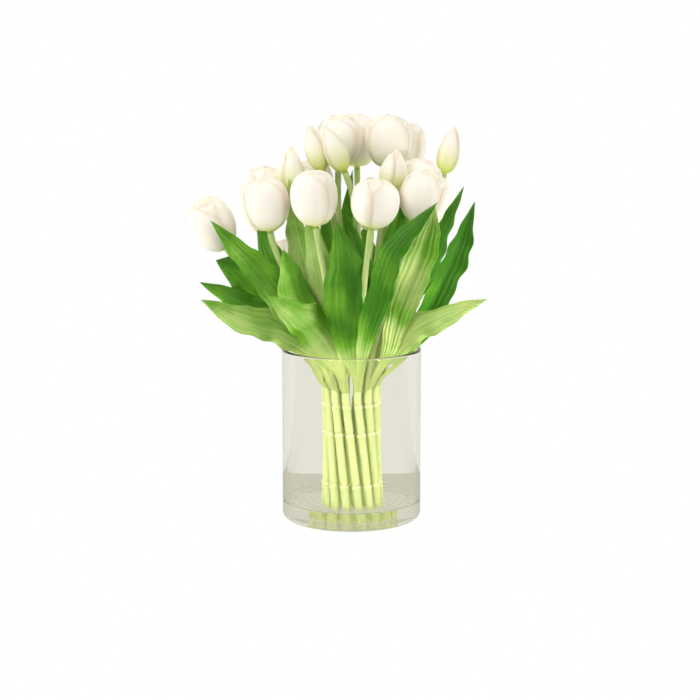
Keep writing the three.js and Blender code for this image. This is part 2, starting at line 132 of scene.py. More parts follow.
# Flowers: outlines, and the place of each layer of petals in them
PETAL_START = 0.015
HEIGHT_SHARE = 0.98
BOTTOM_ROUNDNESS = 0.52
PETAL_HALF_ANGLE = 1.2
PETAL_TIP = 4.6
PETAL_ROOT = 1.5
SLOPE_STEP = 0.01
CROWN_SPAN = (0.48, 0.88)
CROWN_CLOSING, HEART_CLOSING = 0.68, 0.6
EDGE_TUCK = 0.45
CHANNEL_DEPTH, CHANNEL_WIDTH = 0.35, 0.14
SWELL = 0.08
ROLL = (-0.8, 0.2)
UNEVENNESS = 0.16
SCALLOP = 2.2
EDGE_THINNING, TIP_THINNING = 0.75, 0.6
HEART_START = 0.15
HEART_ROWS = 24
SEAT_SIDES, HEART_SIDES = 24, 36
SEAT_PROFILE = [(0, 0), (2.6, 0), (3.7, 1.2), (4.3, 2.6), (3.9, 4.4), (2.4, 6.2), (0.8, 7.4), (0, 7.6)]


@dataclass
class Ring:
    """A ring of evenly spaced stems"""
    radius: float
    count: int


@dataclass
class Outline:
    """The shape of a flower: its radius, where it is widest and how it closes at the top"""
    radius: float
    belly: float
    point: float
    ease: float
    thick: float
    nest: float
    height: float = 55.0


@dataclass
class Layer:
    """A layer of petals.

    Its length is a share of the flower's height, depth is how far it lies inside the flower's outline,
    root is its root's height, hug is how far its edges bend inwards at the crown, and shorter is the most
    that a petal's length falls short of the layer's by chance.
    """
    length: float
    depth: float
    root: float
    hug: float = 0.0
    shorter: float = 0.0


@dataclass
class Skin:
    """A plant's skin.

    Rough is its range of roughness, and relief and relief_depth the bump of its fine lines. Glow is the
    share of light that sinks in, with its colour and its reach, and gloss and sheen are its shine. The
    depth and the reach are in metres.
    """
    rough: tuple
    relief: float
    relief_depth: float
    glow: float
    glow_colour: tuple
    glow_reach: float
    gloss: float = 0.5
    sheen: float = 0.0


@dataclass
class Lamp:
    """A square light: its place, what it looks at, its side, and its power as a share of the setting"""
    name: str
    place: tuple
    target: tuple
    size: float
    share: float = 1.0


@dataclass
class Leaf:
    """A leaf: the route of its middle line to the tip, its width, where it faces, and how its edges bend.

    Tone is how deep its green is, partly the leaf's own green and partly painted shade for leaves that lie
    in shadow, and fade the height where its pale base ends.
    """
    route: list
    width: float
    face: tuple
    fold: float
    widest: float = 0.62
    tone: float = 0.6
    fade: float = 250


@dataclass
class Tulip:
    """A stem's place in its ring, its flower's seat, tip and turn in degrees, and its leaves"""
    name: str
    ring: Ring
    place: int
    kind: str
    seat: tuple
    tip: tuple
    turn: float
    girth: float = 1.0
    leaves: list = field(default_factory=list)


OUTER = Ring(27.5, 14)
INNER = Ring(15.5, 8)
BLOOM = Outline(radius=24.5, belly=0.52, point=2.5, ease=0.45, thick=0.9, nest=0.36)
BUD = Outline(radius=12, belly=0.38, point=1.6, ease=0.8, thick=0.8, nest=0.3)
OUTER_PETAL = Layer(length=0.985, depth=0.0, root=2.0, hug=0.4, shorter=0.04)
INNER_PETAL = Layer(length=1.0, depth=2.0, root=3.8, shorter=0.01)
BLOOM_HEART = Layer(length=0.985, depth=2.8, root=5.0)
BUD_PETAL = Layer(length=0.985, depth=0.0, root=2.0, hug=0.5, shorter=0.02)
BUD_HEART = Layer(length=0.99, depth=1.3, root=3.0)

# Outline, outer petals, heart, and how green the root is
BLOOM_PARTS = (BLOOM, OUTER_PETAL, BLOOM_HEART, 0.25)
BUD_PARTS = (BUD, BUD_PETAL, BUD_HEART, 1.0)

LEAF_SKIN = Skin((0.4, 0.54), 0.35, 0.0005, 0.12, (0.6, 1.0, 0.25), 0.003, gloss=0.24)
STEM_SKIN = Skin((0.34, 0.46), 0.2, 0.0003, 0.15, (0.8, 1.0, 0.3), 0.003)
PETAL_SKIN = Skin((0.5, 0.62), 0.22, 0.0004, 0.3, (1.0, 0.85, 0.65), 0.004, gloss=0.35, sheen=0.08)

# Stage, in metres: the floor with its far edge behind the vase, the lights and the camera
BOUNCES = 64
FLOOR_REACH = 9.0
FLOOR_EDGE = 0.193
FLOOR_SHINE = 3.9
KEY = Lamp("key_light", (-0.9, -1.3, 1.25), (0, 0, 0.25), 0.9)
TOP = Lamp("top_light", (0.1, 0.1, 1.6), (0, 0, 0.2), 1.2, 0.35)
FILLS = (Lamp("left_fill", (-0.55, -0.12, 0.07), (0, -0.02, 0.08), 0.3),
         Lamp("right_fill", (0.55, -0.12, 0.07), (0, -0.02, 0.08), 0.3, 1.4))
FILL_SPREAD = 70
GLINTS = (Lamp("left_glint", (-0.45, -0.9, 0.75), (0, 0, 0.1), 0.12),
          Lamp("right_glint", (0.7, -0.7, 0.6), (0, 0, 0.1), 0.12))
CAMERA_PLACE = (0, -2.1, 0.5607)
CAMERA_TILT = 10.199
CAMERA_SHIFT = -1.5 / 700
SENSOR_WIDTH = 36

# The bunch, from the front stem round to the right, then the inner ring
TULIPS = [
    Tulip("front_centre", OUTER, 0, "bloom", (20, -78, 323), (28, -77, 376), 199, leaves=[
        Leaf([(-4, -62, 205), (-7, -73, 250), (-8, -79, 293), (-15, -82, 331)],
             43, (0, -1, 0), 0.25, tone=0.85),
        Leaf([(14, -68, 205), (29, -84, 262), (45, -92, 305), (87, -96, 352)],
             28, (-0.2, -1, 0), 0.3, tone=0.95, fade=266),
    ]),
    Tulip("front_right", OUTER, 1, "bloom", (65, -58, 327), (84, -61, 382), 250, leaves=[
        Leaf([(39, -48, 190), (50, -60, 240), (70, -70, 290), (85, -84, 348)],
             35, (0.2, -1, 0), -0.2, widest=0.72, tone=0.36, fade=258),
        Leaf([(37, -41, 181), (65, -52, 213), (104, -60, 234), (141, -58, 247)],
             31, (0.3, -1, 0.6), 0.4, widest=0.55, tone=0.2),
    ]),
    Tulip("right", OUTER, 2, "bloom", (66, -2, 332), (76, 4, 390), 30, leaves=[
        Leaf([(50, -26, 174), (76, -30, 222), (104, -31, 282), (129, -30, 346)],
             37, (0.6, -1, 0), -0.4, tone=1.0),
    ]),
    Tulip("right_bud", OUTER, 3, "bud", (99, 24, 370), (111, 28, 422), 20, leaves=[
        Leaf([(48, -6, 190), (68, -5, 240), (94, -3, 300), (119, 0, 359)],
             27, (0.6, -1, 0), 0.3, tone=0.95),
    ]),
    Tulip("back_right", OUTER, 4, "bloom", (78, 72, 304), (92, 86, 362), 80, leaves=[
        Leaf([(40, 20, 190), (62, 36, 232), (86, 47, 268), (105, 55, 300)],
             34, (0.6, 0.8, 0), 0.3, tone=0.7),
    ]),
    Tulip("top_back_right", OUTER, 5, "bloom", (55, 70, 367), (59, 78, 424), 10, leaves=[
        Leaf([(30, 30, 190), (45, 56, 240), (57, 84, 285), (64, 106, 325)],
             31, (0.4, 1, 0), -0.2, tone=0.7),
    ]),
    Tulip("back_centre", OUTER, 6, "bloom", (22, 90, 300), (26, 106, 358), 45, leaves=[
        Leaf([(11, 38, 190), (14, 70, 235), (15, 100, 272), (18, 122, 310)],
             34, (0, 1, 0), 0.25, tone=0.7),
        Leaf([(14, 42, 180), (34, 78, 202), (52, 112, 212), (64, 140, 212)],
             30, (0.3, 0.8, -0.6), 0.2, tone=0.6),
    ]),
    Tulip("back_low", OUTER, 7, "bloom", (-10, 104, 234), (-14, 132, 288), 100, leaves=[
        Leaf([(-6, 36, 182), (-10, 70, 204), (-16, 106, 212), (-24, 138, 208)],
             34, (-0.2, 0.8, -0.5), 0.2, tone=0.6),
    ]),
    Tulip("back_left_low", OUTER, 8, "bloom", (-60, 84, 238), (-77, 104, 291), 150, leaves=[
        Leaf([(-28, 28, 185), (-56, 48, 214), (-90, 64, 238), (-118, 76, 256)],
             32, (-0.6, 0.8, 0), 0.25, tone=0.7),
        Leaf([(-32, 28, 178), (-62, 58, 200), (-98, 86, 208), (-130, 104, 204)],
             28, (-0.5, 0.5, -0.7), 0.2, tone=0.6),
    ]),
    Tulip("back_left", OUTER, 9, "bloom", (-92, 66, 300), (-100, 76, 358), 60, leaves=[
        Leaf([(-38, 14, 188), (-60, 28, 228), (-88, 42, 260), (-112, 50, 284)],
             30, (-1, 0.6, 0), 0.25, tone=0.65),
    ]),
    Tulip("left", OUTER, 10, "bloom", (-131, -28, 296), (-162, -40, 349), 120, leaves=[
        Leaf([(-50, -10, 178), (-80, -29, 227), (-109, -34, 267), (-142, -37, 285)],
             46, (-0.3, -1, 0.4), 0.2, widest=0.76, tone=0.85),
    ]),
    Tulip("top_left", OUTER, 11, "bloom", (-91, 4, 323), (-96, 8, 381), 200, leaves=[
        Leaf([(-47, -26, 188), (-78, -36, 222), (-118, -43, 243), (-159, -44, 263)],
             29, (0, -1, 0.3), 0.25, tone=0.75),
        Leaf([(-39, -32, 182), (-71, -43, 210), (-116, -54, 227), (-157, -56, 246)],
             33, (-0.2, -1, 0.4), 0.2, tone=0.35),
    ]),
    Tulip("front_left", OUTER, 12, "bloom", (-84, -55, 317), (-93, -52, 375), 28, leaves=[
        Leaf([(-40, -44, 192), (-64, -50, 233), (-96, -58, 276), (-145, -66, 330)],
             32, (0, -1, 0.2), -0.25, tone=0.64),
        Leaf([(-30, -42, 186), (-47, -55, 222), (-61, -66, 262), (-70, -73, 301)],
             41, (0, -1, 0.1), 0.5, tone=0.55),
    ]),
    Tulip("front_left_centre", OUTER, 13, "bloom", (-36, -73, 324), (-41, -70, 385), 4, leaves=[
        Leaf([(-12, -45, 171), (-30, -52, 207), (-59, -76, 234), (-87, -86, 255)],
             45, (0.2, -1, 0.2), 0.15, widest=0.5, tone=0.45),
        Leaf([(-14, -45, 220), (-29, -49, 262), (-40, -49, 306), (-44, -41, 342)],
             30, (-0.2, -1, 0), 0.2, tone=0.3),
    ]),
    Tulip("top_front_bud", INNER, 0, "bud", (-7, -32, 377), (-29, -36, 427), 40, leaves=[
        Leaf([(12, -36, 200), (16, -40, 245), (10, -40, 285), (-9, -36, 335)],
             28, (0.3, -1, 0), 0.2, tone=0.8),
    ]),
    Tulip("middle_right_bud", INNER, 1, "bud", (41, -27, 357), (47, -31, 402), 90, girth=1.18, leaves=[
        Leaf([(18, -22, 200), (33, -27, 258), (45, -31, 312), (57, -32, 364)],
             26, (0.3, -1, 0), -0.2, tone=0.85),
    ]),
    Tulip("top_right", INNER, 2, "bloom", (38, 20, 376), (41, 22, 435), 147),
    Tulip("top_back", INNER, 3, "bloom", (6, 65, 373), (5, 75, 433), 75, leaves=[
        Leaf([(0, 22, 200), (-13, 46, 250), (-25, 64, 300), (-32, 76, 345)],
             26, (-0.2, 1, 0), 0.2, tone=0.7),
    ]),
    Tulip("top_centre", INNER, 4, "bloom", (-14, 20, 376), (-12, 22, 435), 136, leaves=[
        Leaf([(-8, 12, 215), (-11, 26, 270), (-4, 36, 325), (1, 40, 373)],
             20, (0.2, -1, 0), 0.2, tone=0.7),
    ]),
    Tulip("middle_left", INNER, 5, "bloom", (-40, 14, 331), (-47, 20, 388), 20),
    Tulip("middle_left_bud", INNER, 6, "bud", (-64, -20, 352), (-64, -18, 405), 60, girth=1.23, leaves=[
        Leaf([(-28, -28, 205), (-46, -36, 260), (-60, -37, 315), (-65, -37, 371)],
             30, (-0.5, -1, 0), 0.2, tone=0.3),
    ]),
    Tulip("top_left_bud", INNER, 7, "bud", (-30, -20, 377), (-45, -24, 427), 10, leaves=[
        Leaf([(-24, -32, 195), (-54, -36, 236), (-82, -38, 285), (-98, -34, 328)],
             36, (-0.2, -1, 0), -0.2, tone=0.7),
    ]),
]


def colour(red, green, blue):
    """Linear colour of an sRGB colour given in steps of 255"""
    values = np.array([red, green, blue]) / 255
    linear = np.where(values <= 0.04045, values / 12.92, ((values + 0.055) / 1.055) ** 2.4)
    return tuple(float(value) for value in linear)


def smooth(low, high, value):
    """A smooth step from 0 at low to 1 at high"""
    t = np.clip((value - low) / (high - low), 0, 1)
    return t * t * (3 - 2 * t)


def bell(value, width):
    """A bell shape: 1 at 0, and falling with the square of the value over the width"""
    return np.exp(-(value / width) ** 2)


def unit(vectors):
    """Vectors scaled to length 1"""
    return vectors / np.linalg.norm(vectors, axis=-1, keepdims=True)


def bezier(points, t):
    """Points and unit directions of a cubic Bezier curve at the values t"""
    a, b, c, d = points
    t = np.asarray(t, float)[:, None]
    place = (1 - t) ** 3 * a + 3 * (1 - t) ** 2 * t * b + 3 * (1 - t) * t ** 2 * c + t ** 3 * d
    way = (1 - t) ** 2 * (b - a) + 2 * (1 - t) * t * (c - b) + t ** 2 * (d - c)
    return place, unit(way)


class Route:
    """A smooth curve through points, read by the share s of its length.

    Each stretch is the cubic whose ends are two neighbouring points, and whose slopes there are half
    the way between the points on either side.
    """

    def __init__(self, points):
        points = np.asarray(points, float)
        first = 2 * points[0] - points[1]
        last = 2 * points[-1] - points[-2]
        self.points = np.vstack([first, points, last])
        self.stretches = len(points) - 1
        self.table = np.linspace(0, self.stretches, 401)
        places, _ = self.cubic(self.table)
        steps = np.linalg.norm(np.diff(places, axis=0), axis=1)
        self.lengths = np.concatenate([[0], np.cumsum(steps)])
        self.length = self.lengths[-1]

    def cubic(self, t):
        index = np.clip(t.astype(int), 0, self.stretches - 1)
        w = (t - index)[:, None]
        before, start, end, after = (self.points[index + k] for k in range(4))
        leaving = 0.5 * (end - before)
        arriving = 0.5 * (after - start)
        square = -3 * start + 3 * end - 2 * leaving - arriving
        cube = 2 * start - 2 * end + leaving + arriving
        place = start + w * (leaving + w * (square + w * cube))
        way = leaving + w * (2 * square + 3 * w * cube)
        return place, unit(way)

    def at(self, s):
        return self.cubic(np.interp(np.clip(s, 0, 1) * self.length, self.lengths, self.table))


def foot_and_waist(tulip):
    """Where a stem stands on the vase's floor, where it passes the waist, and its way outwards there"""
    angle = 2 * np.pi * (tulip.place + 0.5) / tulip.ring.count - np.pi / 2
    outward = np.array([np.cos(angle), np.sin(angle), 0])
    spread = np.array([np.cos(angle + TWIST), np.sin(angle + TWIST), 0])
    foot = FOOT + spread * tulip.ring.radius * FOOT_SPREAD
    waist = WAIST + outward * tulip.ring.radius
    return foot, waist, outward


def upper_stem(tulip):
    """The four control points of the stem's curve from the waist to just below its flower"""
    _, waist, _ = foot_and_waist(tulip)
    axis = unit(np.subtract(tulip.tip, tulip.seat).astype(float))
    end = np.asarray(tulip.seat, float) - axis * CLEARANCE
    length = np.linalg.norm(end - waist)
    rise = waist + np.array([0, 0, length * RISE])
    reach = end - axis * length * REACH
    return waist, rise, reach, end


@dataclass
class Surface:
    """Points, faces with their material slots, and the values that the materials read at each point"""
    points: np.ndarray
    quads: np.ndarray
    pattern: np.ndarray
    tone: np.ndarray
    slot: int = 0
    caps: list = field(default_factory=list)


def shell(middle, half, pattern, tone, slot=0):
    """A closed thin shell round a middle surface.

    middle is a grid of points, one row for each step along the shell. Both faces lie half a thickness
    from it along the surface's normal, and a rim of faces joins their edges.
    """
    across = np.gradient(middle, axis=1)
    along = np.gradient(middle, axis=0)
    lift = unit(np.cross(across, along)) * half[..., None]
    index = np.arange(half.size).reshape(half.shape)
    count = index.size
    corners = index[:-1, :-1], index[:-1, 1:], index[1:, 1:], index[1:, :-1]
    front = np.stack(corners, axis=-1).reshape(-1, 4)
    rim = np.concatenate([index[0], index[1:, -1], index[-1, -2::-1], index[-2:0:-1, 0]])
    following = np.roll(rim, -1)
    joined = np.stack([following, rim, rim + count, following + count], axis=-1)
    points = np.concatenate([(middle + lift).reshape(-1, 3), (middle - lift).reshape(-1, 3)])
    quads = np.concatenate([front, front[:, ::-1] + count, joined])
    pattern = np.tile(pattern.reshape(-1, 2), (2, 1))
    return Surface(points, quads, pattern, np.tile(tone.ravel(), 2), slot)


def ring_quads(rows, sides):
    """Numbers of the points of closed rings, and the faces between each ring and the next"""
    index = np.arange(rows * sides).reshape(rows, sides)
    near = np.roll(index, -1, axis=1)
    corners = index[:-1], near[:-1], near[1:], index[1:]
    return index, near, np.stack(corners, axis=-1).reshape(-1, 4)


def tube(centres, ways, radii, tone, sides):
    """A closed tube: rings of the given radii round the centres, square to the ways, with flat ends"""
    side = unit(np.cross([0.0, 1.0, 0.0], ways))
    front = np.cross(side, ways)
    angle = 2 * np.pi * np.arange(sides) / sides
    ring = np.cos(angle)[None, :, None] * side[:, None] - np.sin(angle)[None, :, None] * front[:, None]
    points = centres[:, None] + ring * radii[:, None, None]
    index, _, quads = ring_quads(len(centres), sides)
    share = np.linspace(0, 1, len(centres))
    pattern = np.stack(np.broadcast_arrays(np.arange(sides)[None] / sides, share[:, None]), axis=-1)
    tones = np.repeat(tone, sides)
    caps = [index[0, ::-1].tolist(), index[-1].tolist()]
    return Surface(points.reshape(-1, 3), quads, pattern.reshape(-1, 2), tones, caps=caps)


def lathe(profile, sides):
    """A profile of radii and heights turned round the Z axis, from one point on the axis to another"""
    profile = np.asarray(profile, float)
    angle = 2 * np.pi * np.arange(sides) / sides
    middle = profile[1:-1]
    rings = np.empty((len(middle), sides, 3))
    rings[..., :2] = middle[:, None, :1] * np.stack([np.cos(angle), np.sin(angle)], axis=-1)
    rings[..., 2] = middle[:, 1:]
    index, near, quads = ring_quads(len(middle), sides)
    caps = np.stack([near[0], index[0], np.full(sides, index.size)], axis=-1).tolist()
    caps += np.stack([index[-1], near[-1], np.full(sides, index.size + 1)], axis=-1).tolist()
    points = np.concatenate([rings.reshape(-1, 3), [[0, 0, profile[0, 1]], [0, 0, profile[-1, 1]]]])
    blank = np.zeros((len(points), 2))
    return Surface(points, quads, blank, blank[:, 0], caps=caps)


def quarter(radius, height, curve, start, end, steps):
    """Radii and heights on part of a circle, between two angles in degrees"""
    angle = np.radians(np.linspace(start, end, steps + 1))
    return np.stack([radius + curve * np.cos(angle), height + curve * np.sin(angle)], axis=-1)


def add_object(name, data):
    """A new object at the origin of the scene"""
    made = bpy.data.objects.new(name, data)
    bpy.context.scene.collection.objects.link(made)
    return made


def add_piece(name, surfaces, materials, replaced):
    """One mesh object at the origin from one or more surfaces, which stands for a node of the frame"""
    points = np.concatenate([surface.points for surface in surfaces]) * METRES
    faces = []
    slots = []
    start = 0
    for surface in surfaces:
        faces += (surface.quads + start).tolist()
        faces += [[corner + start for corner in cap] for cap in surface.caps]
        slots += [surface.slot] * (len(surface.quads) + len(surface.caps))
        start += len(surface.points)
    mesh = bpy.data.meshes.new(name)
    mesh.from_pydata(points.tolist(), [], faces)
    mesh.polygons.foreach_set("material_index", slots)
    pattern = np.concatenate([surface.pattern for surface in surfaces])
    corners = np.empty(len(mesh.loops), np.int32)
    mesh.loops.foreach_get("vertex_index", corners)
    layer = mesh.uv_layers.new(name="Pattern")
    layer.uv.foreach_set("vector", pattern[corners].ravel())
    tone = mesh.attributes.new("tone", "FLOAT", "POINT")
    tone.data.foreach_set("value", np.concatenate([surface.tone for surface in surfaces]))
    for material in materials:
        mesh.materials.append(bpy.data.materials[material])
    mesh.shade_smooth()
    mesh.update()
    piece = add_object(name, mesh)
    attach(piece, "root")
    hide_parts(replaced)


def stem_surface(tulip):
    """A round stem: straight from its foot to the waist with a lip at each ring joint, then curved.

    The radius goes evenly from the foot to the waist and on to the flower. At a joint it swells in a
    narrow bell shape just below the joint's height and draws in just above it.
    """
    foot, waist, _ = foot_and_waist(tulip)
    heights = np.concatenate([[foot[2]], np.arange(foot[2] + 1, waist[2], STEM_STEP)])
    share = (heights - foot[2]) / (waist[2] - foot[2])
    lower = foot + share[:, None] * (waist - foot)
    lower_way = np.repeat(unit(waist - foot)[None], len(heights), axis=0)
    lower_way[0] = (0, 0, 1)
    t = np.linspace(0, 1, STEM_STEPS)
    upper, upper_way = bezier(upper_stem(tulip), t)
    radii = np.concatenate([
        STEM_FOOT + (STEM_WAIST - STEM_FOOT) * share,
        STEM_WAIST + (STEM_TOP - STEM_WAIST) * t,
    ])
    centres = np.concatenate([lower, upper])
    ways = np.concatenate([lower_way, upper_way])
    height = centres[:, 2]
    line = np.zeros(len(centres))
    for joint in JOINTS:
        radii += JOINT_LIP * bell(height - joint + LIP_BELOW, LIP_WIDTH)
        radii -= JOINT_NECK * bell(height - joint - NECK_ABOVE, NECK_WIDTH)
        line += bell(height - joint, JOINT_LINE)
    collar = centres[-1] - ways[-1] * COLLAR_BELOW
    radii += COLLAR * bell(np.linalg.norm(centres - collar, axis=1), COLLAR_WIDTH)
    tone = PALE_TONE + TONE_RISE * np.clip((height - GREEN_START) / GREEN_REACH, 0, 1) - PALE_TONE * line
    return tube(centres, ways, radii, tone, STEM_SIDES)


def leaf_frame(tulip, leaf, s):
    """A leaf's length, and its middle line, its way sideways and its normal at the shares s of it.

    The middle line leaves the stem, runs up beside it as a sheath and then follows the leaf's route. The
    normal turns from the way out of the bunch to the leaf's face.
    """
    stem = upper_stem(tulip)
    _, _, way_out = foot_and_waist(tulip)
    root = bezier(stem, [LEAF_START])[0][0]
    sheath = bezier(stem, [SHEATH_TOP])[0][0]
    towards = np.subtract(leaf.route[0], root) * (1, 1, 0)
    outward = unit(way_out + unit(towards))
    route = Route([root, sheath + outward * SHEATH_OFFSET, *leaf.route])
    middle, along = route.at(s)
    turn = smooth(*TURN_SPAN, s)[:, None]
    normal = outward * (1 - turn) + unit(np.asarray(leaf.face, float)) * turn
    normal = unit(normal - (normal * along).sum(axis=1, keepdims=True) * along)
    return route.length, middle, np.cross(along, normal), normal


def leaf_half_width(leaf, s):
    """Half a leaf's width: the sheath's, then more up to the broadest place, and less to the point"""
    spread = smooth(SHEATH_TOP, BROAD_SHARE * leaf.widest, s) ** BROAD_POWER
    tapered = 1 - np.clip((s - leaf.widest) / (1 - leaf.widest), 0, 1) ** LEAF_POINT
    half = (SHEATH_WIDTH + (leaf.width - SHEATH_WIDTH) * spread) * tapered / 2
    return np.maximum(half * smooth(-0.002, 0.012, s), LEAST_HALF)[:, None]


def leaf_surface(tulip, leaf, look, seed):
    """A leaf's shell.

    s is the share of its length and u goes from -1 to 1 across. The edges bend back by the fold with
    the power 1.5 of the distance from the middle, rise and fall in long sine waves and in short
    ruffles, and swing out and in with both. Narrow ribs run along it as a cosine of u, the middle one
    deeper.
    """
    s = 1 - (1 - np.linspace(0, 1, look.leaf_rows + 1)[:, None]) ** LEAF_EASE
    u = np.linspace(-1, 1, look.leaf_columns + 1)[None]
    length, middle, side, normal = leaf_frame(tulip, leaf, s[:, 0])
    half = leaf_half_width(leaf, s[:, 0])
    rim = np.abs(u)
    lag = np.where(u > 0, EDGE_LAG, 0)
    turns = 2 * np.pi * WAVES * s + leaf.width
    long_wave = smooth(*WAVE_SPAN, s) * (1 - s) * 2 * np.sin(turns + lag)
    phase = np.random.default_rng(seed).uniform(0, 2 * np.pi, 4)
    ruffle = 2 * np.pi * length / look.ruffle_length * METRES * s + np.where(u > 0, phase[0], phase[1])
    strength = smooth(*RUFFLE_SPAN, s) * smooth(1, 0.8, s) * (0.7 + 0.3 * np.sin(9 * s + phase[2]))
    short_wave = look.ruffle / METRES * strength * np.sin(ruffle)
    swing = 1 + EDGE_SWING * smooth(*SWING_SPAN, s) * np.sin(turns + 2 * lag)
    swing = swing + RUFFLE_SWING * strength * np.sin(ruffle + RUFFLE_LAG)
    bend = SHEATH_FOLD + (leaf.fold - SHEATH_FOLD) * smooth(*FOLD_SPAN, s)
    ribs = look.rib_depth * np.cos(np.pi * look.rib_count * u) * smooth(*RIB_SPAN, s)
    ribs = ribs * smooth(1, 0.9, s) * (1 - rim ** 6)
    keel = KEEL_DEPTH * bell(u, KEEL_WIDTH) * smooth(*KEEL_SPAN, s) * smooth(1, 0.8, s)
    reach = u * half / np.sqrt(1 + bend * bend) * swing
    rise = look.wave_height * long_wave * rim ** 2 + short_wave * rim ** 2.5
    rise = rise - bend * half * rim ** 1.5 + ribs - keel
    points = middle[:, None] + side[:, None] * reach[..., None] + normal[:, None] * rise[..., None]
    thick = look.leaf_thickness / 2 / METRES * (1 - RIM_THINNING * rim ** 4) * np.ones_like(reach)
    thick = np.minimum(thick, 0.12 + half * 0.2)
    pattern = np.stack(np.broadcast_arrays(0.5 + 0.5 * u + 3 * (seed % 7), s), axis=-1)
    height = smooth(leaf.fade - FADE_REACH, leaf.fade - FADE_LIFT * leaf.tone, middle[:, 2:])
    tone = leaf.tone * smooth(0.0, 0.5, s) * (BASE_TONE + (1 - BASE_TONE) * height)
    # Painted shade: one half of the blade is a little deeper than the other, as across a fold lit from one
    # side
    tone = tone + HALF_SHADE * np.sign(u) * smooth(0.0, 0.1, rim) * smooth(0.2, 0.4, s)
    # Painted light and shade: the tone follows the long waves of the edges
    return shell(points, thick, pattern, tone - PAINTED_WAVE_SHADE * long_wave, slot=1)


def outline_radius(form, share):
    """A flower's radius at a share of its height: round below the belly, drawn in above it"""
    low = 1 - np.clip(share / form.belly, 0, 1)
    high = np.clip((share - form.belly) / (1 - form.belly), 0, 1)
    below = form.radius * (1 - low ** 2) ** BOTTOM_ROUNDNESS
    above = form.radius * (1 - high ** form.point) ** form.ease
    return np.where(share < form.belly, below, above)


def meridian(form, layer, s, depth):
    """Radius and height at s of a petal's length, moved inwards by depth square to the outline"""
    def share_at(place):
        return PETAL_START + (layer.length - PETAL_START) * (1 - np.cos(np.pi * place)) / 2
    low = share_at(np.maximum(s - SLOPE_STEP, 0))
    high = share_at(np.minimum(s + SLOPE_STEP, 1))
    widening = outline_radius(form, high) - outline_radius(form, low)
    slope = unit(np.stack([widening, (high - low) * form.height], axis=-1))
    radius = outline_radius(form, share_at(s)) - depth * slope[..., 1]
    height = share_at(s) * form.height + depth * slope[..., 0]
    opened = smooth(0, 0.15, s)
    return PETAL_ROOT + (radius - PETAL_ROOT) * opened, layer.root + (height - layer.root) * opened


def petal_surface(form, layer, angle, look, chance, green):
    """A petal's shell.

    s goes up it and u from -1 to 1 across. It follows the flower's outline, spans an angle that closes
    with a power of its height to a rounded tip, and lies a little deeper on one side than on the other,
    so that petals nest. Its edge waves, a shallow channel runs up its middle, and its tip leans in or
    out by chance.
    """
    s = np.linspace(0, 1, look.petal_rows + 1)[:, None]
    u = np.linspace(-1, 1, look.petal_columns + 1)[None]
    rise = (1 - np.cos(np.pi * s)) / 2
    close = np.sqrt(np.maximum(1 - rise ** PETAL_TIP, 0.0004))
    turn = angle + u * PETAL_HALF_ANGLE * close
    phase = chance.uniform(0, 2 * np.pi, 3)
    swell = chance.uniform(-SWELL, SWELL)
    roll = chance.uniform(*ROLL)
    layer = replace(layer, length=layer.length - layer.shorter * (0.5 - 0.5 * np.sin(phase[1])))
    crown = smooth(*CROWN_SPAN, s)
    wave = np.sin(7 * u + 3 * s + phase[0])
    wave = wave + (1 - wave) * smooth(0.3, 1.0, u)
    depth = layer.depth * (1 - CROWN_CLOSING * crown) - form.nest * u + EDGE_TUCK * smooth(0.5, 1.0, u)
    depth = depth + look.petal_wave * crown * close * (0.35 + np.abs(u) ** 3) * wave
    depth = depth + CHANNEL_DEPTH * bell(u, CHANNEL_WIDTH) * smooth(0.12, 0.3, s) * smooth(1.0, 0.7, s)
    depth = depth + swell * np.sin(np.pi * s) + roll * smooth(0.8, 1.0, s) + layer.hug * crown * u ** 2
    depth = depth + UNEVENNESS * np.sin(4 * s + 3 * u + phase[1]) * smooth(0.1, 0.4, s)
    radius, height = meridian(form, layer, np.broadcast_to(s, turn.shape), depth)
    height = height - SCALLOP * smooth(0.7, 0.95, s) * np.sin(2.0 * u * close + phase[2]) ** 2
    points = np.stack([radius * np.cos(turn), radius * np.sin(turn), height], axis=-1)
    half = form.thick / 2 * (1 - EDGE_THINNING * u ** 2) * smooth(-0.05, 0.12, s)
    half = half * (1 - TIP_THINNING * smooth(0.6, 1, s))
    pattern = np.stack(np.broadcast_arrays(0.5 + 0.5 * u + 2 * int(phase[0]), s), axis=-1)
    tone = np.broadcast_to(green, turn.shape)
    return shell(points, np.broadcast_to(half, turn.shape), pattern, tone)


def heart_surface(form, layer, green):
    """The closed heart of a flower: its outline drawn inwards, seen between the petals' tips"""
    s = np.linspace(HEART_START, 1, HEART_ROWS)
    depth = layer.depth * (1 - HEART_CLOSING * smooth(*CROWN_SPAN, s))
    radius, height = meridian(form, layer, s, depth)
    radius = np.maximum(radius, 0)
    radius[-1] = 0
    surface = lathe([(0, height[0]), *zip(radius, height)], HEART_SIDES)
    surface.pattern = np.tile([0.5, 1.0], (len(surface.points), 1))
    surface.tone = np.full(len(surface.points), green)
    return surface


def leaning(axis):
    """The rotation that takes the Z axis to another by the shortest way, from their cross product"""
    way = np.cross([0, 0, 1], axis)
    sine = np.linalg.norm(way)
    if sine < 1e-6:
        return np.eye(3)
    cross = np.cross(np.eye(3), way)
    return np.eye(3) + cross + cross @ cross * (1 - axis[2]) / sine ** 2


